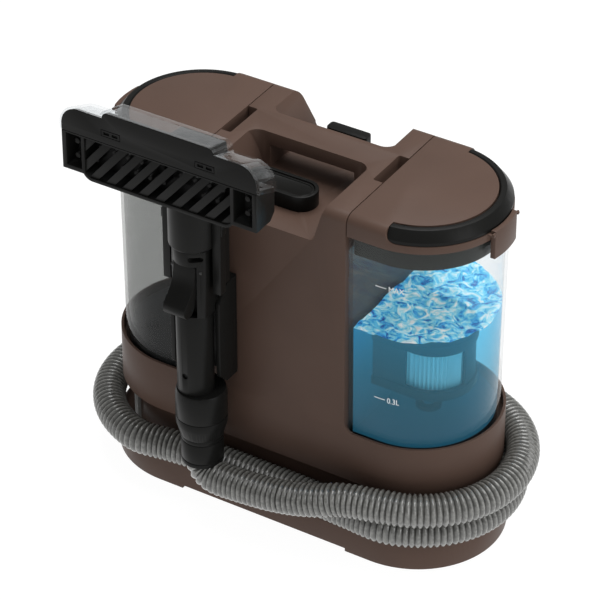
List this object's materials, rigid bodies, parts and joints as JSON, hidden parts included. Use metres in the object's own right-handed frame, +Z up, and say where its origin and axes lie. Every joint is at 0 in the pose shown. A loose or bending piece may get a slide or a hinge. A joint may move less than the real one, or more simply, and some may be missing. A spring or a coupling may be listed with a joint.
{
  "type": "portable carpet cleaner",
  "caption": "Portable carpet and upholstery cleaner with clean and dirty water tanks, carry handle, wrapped suction hose and a hand tool with a brush nozzle.",
  "frame": {"origin": "middle of the flat underside of the base, on the floor", "axes": "+X along the body towards the clean water tank, +Z up, -Y the front where the hand tool is stored"},
  "size_m": [0.3418, 0.2106, 0.3432],
  "materials": {
    "brown_shell": "fine matte moulded",
    "rubber": "matte",
    "steel": "plain",
    "motor_metal": "satin",
    "black_plastic": "satin moulded",
    "dark_grey_plastic": "matte moulded",
    "seal_rubber": "satin",
    "grey_plastic": "matte moulded",
    "hose_plastic": "glossy corrugated",
    "circuit_board": "satin lacquer",
    "filter_paper": "pleated paper",
    "float_plastic": "matte",
    "clear_tank": "clear polished plastic",
    "smoked_tank": "smoked polished plastic"
  },
  "bodies": {
    "machine": {"base_pan": "brown_shell", "rubber_feet": "rubber", "base_screws": "steel", "chassis": "brown_shell", "main_housing": "brown_shell", "handle_grip": "dark_grey_plastic", "button_bezel": "black_plastic", "cord_hook": "black_plastic", "tool_cradle": "black_plastic", "hose_port": "black_plastic", "hose_clips": "grey_plastic", "vent_grille": "black_plastic", "cord_inlet": "black_plastic", "motor_bracket": "dark_grey_plastic", "suction_motor": "motor_metal", "fan_housing": "dark_grey_plastic", "water_pump": "dark_grey_plastic", "pump_line": "grey_plastic", "recovery_duct": "grey_plastic", "suction_duct": "grey_plastic", "control_board": "circuit_board", "button_spring": "steel", "hose": "hose_plastic"},
    "rotor": {"impeller": "motor_metal", "motor_shaft": "steel"},
    "power_switch": {"power_button": "black_plastic"},
    "clean_tank": {"clean_tank": "clear_tank", "clean_tank_base": "dark_grey_plastic", "filter_housing": "dark_grey_plastic", "pleated_filter": "filter_paper"},
    "clean_lid": {"clean_lid": "brown_shell", "clean_lid_seal": "seal_rubber"},
    "clean_handle": {"clean_handle": "black_plastic"},
    "clean_latch": {"clean_latch": "brown_shell"},
    "dirty_tank": {"dirty_tank": "smoked_tank", "dirty_tank_base": "dark_grey_plastic", "standpipe": "dark_grey_plastic", "float_cage": "dark_grey_plastic"},
    "float": {"float_ball": "float_plastic"},
    "dirty_lid": {"dirty_lid": "brown_shell", "dirty_lid_seal": "seal_rubber"},
    "dirty_handle": {"dirty_handle": "black_plastic"},
    "dirty_latch": {"dirty_latch": "brown_shell"},
    "hand_tool": {"swivel_coupling": "black_plastic", "lower_tube": "black_plastic", "trigger_housing": "black_plastic", "upper_sleeve": "black_plastic", "back_shell": "black_plastic", "trigger_pin": "steel", "trigger_spring": "steel", "spray_valve": "dark_grey_plastic"},
    "hose_end": {"hose_cuff": "black_plastic"},
    "trigger": {"trigger": "black_plastic"},
    "nozzle": {"nozzle_body": "black_plastic", "nozzle_grille": "black_plastic", "nozzle_pegs": "black_plastic", "nozzle_hood": "clear_tank", "spray_tip": "black_plastic"}
  },
  "joints": [
    {"name": "impeller_spin", "type": "hinge", "parent": "machine", "child": "rotor", "pos_m": [-0.008, 0, 0.15], "axis": [0, 0, 1], "continuous": true},
    {"name": "power_button_press", "type": "slide", "parent": "machine", "child": "power_switch", "axis": [0, 0, -1], "range_m": [0, 0.003], "stiffness_N_per_m": 400, "springref_m": -0.0015, "deforming": ["button_spring"]},
    {"name": "clean_tank_lift", "type": "slide", "parent": "machine", "child": "clean_tank", "axis": [0, 0, 1], "range_m": [0, 0.18]},
    {"name": "clean_lid_lift", "type": "slide", "parent": "clean_tank", "child": "clean_lid", "axis": [0, 0, 1], "range_m": [0, 0.05]},
    {"name": "clean_handle_swing", "type": "hinge", "parent": "clean_lid", "child": "clean_handle", "pos_m": [0.0996, 0, 0.2726], "axis": [0, -1, 0], "range_deg": [0, 75]},
    {"name": "clean_latch_swing", "type": "hinge", "parent": "clean_lid", "child": "clean_latch", "pos_m": [0.1484, 0, 0.2655], "axis": [0, -1, 0], "range_deg": [0, 40]},
    {"name": "dirty_tank_lift", "type": "slide", "parent": "machine", "child": "dirty_tank", "axis": [0, 0, 1], "range_m": [0, 0.18]},
    {"name": "float_rise", "type": "slide", "parent": "dirty_tank", "child": "float", "axis": [0, 0, 1], "range_m": [0, 0.02]},
    {"name": "dirty_lid_lift", "type": "slide", "parent": "dirty_tank", "child": "dirty_lid", "axis": [0, 0, 1], "range_m": [0, 0.05]},
    {"name": "dirty_handle_swing", "type": "hinge", "parent": "dirty_lid", "child": "dirty_handle", "pos_m": [-0.0996, 0, 0.2726], "axis": [0, 1, 0], "range_deg": [0, 75]},
    {"name": "dirty_latch_swing", "type": "hinge", "parent": "dirty_lid", "child": "dirty_latch", "pos_m": [-0.1484, 0, 0.2655], "axis": [0, 1, 0], "range_deg": [0, 40]},
    {"name": "tool_pull", "type": "slide", "parent": "machine", "child": "hand_tool", "axis": [0, -1, 0], "range_m": [0, 0.06]},
    {"name": "hose_cuff_swivel", "type": "hinge", "parent": "hand_tool", "child": "hose_end", "pos_m": [-0.0365, -0.0835, 0.0655], "axis": [0, 0, 1], "continuous": true},
    {"name": "trigger_squeeze", "type": "hinge", "parent": "hand_tool", "child": "trigger", "pos_m": [-0.039, -0.094, 0.2175], "axis": [1, 0, 0], "range_deg": [0, 6], "stiffness_Nm_per_rad": 0.6, "springref_deg": -5.73, "deforming": ["trigger_spring"]},
    {"name": "nozzle_pull", "type": "slide", "parent": "hand_tool", "child": "nozzle", "axis": [0, 0, 1], "range_m": [0, 0.03]}
  ]
}
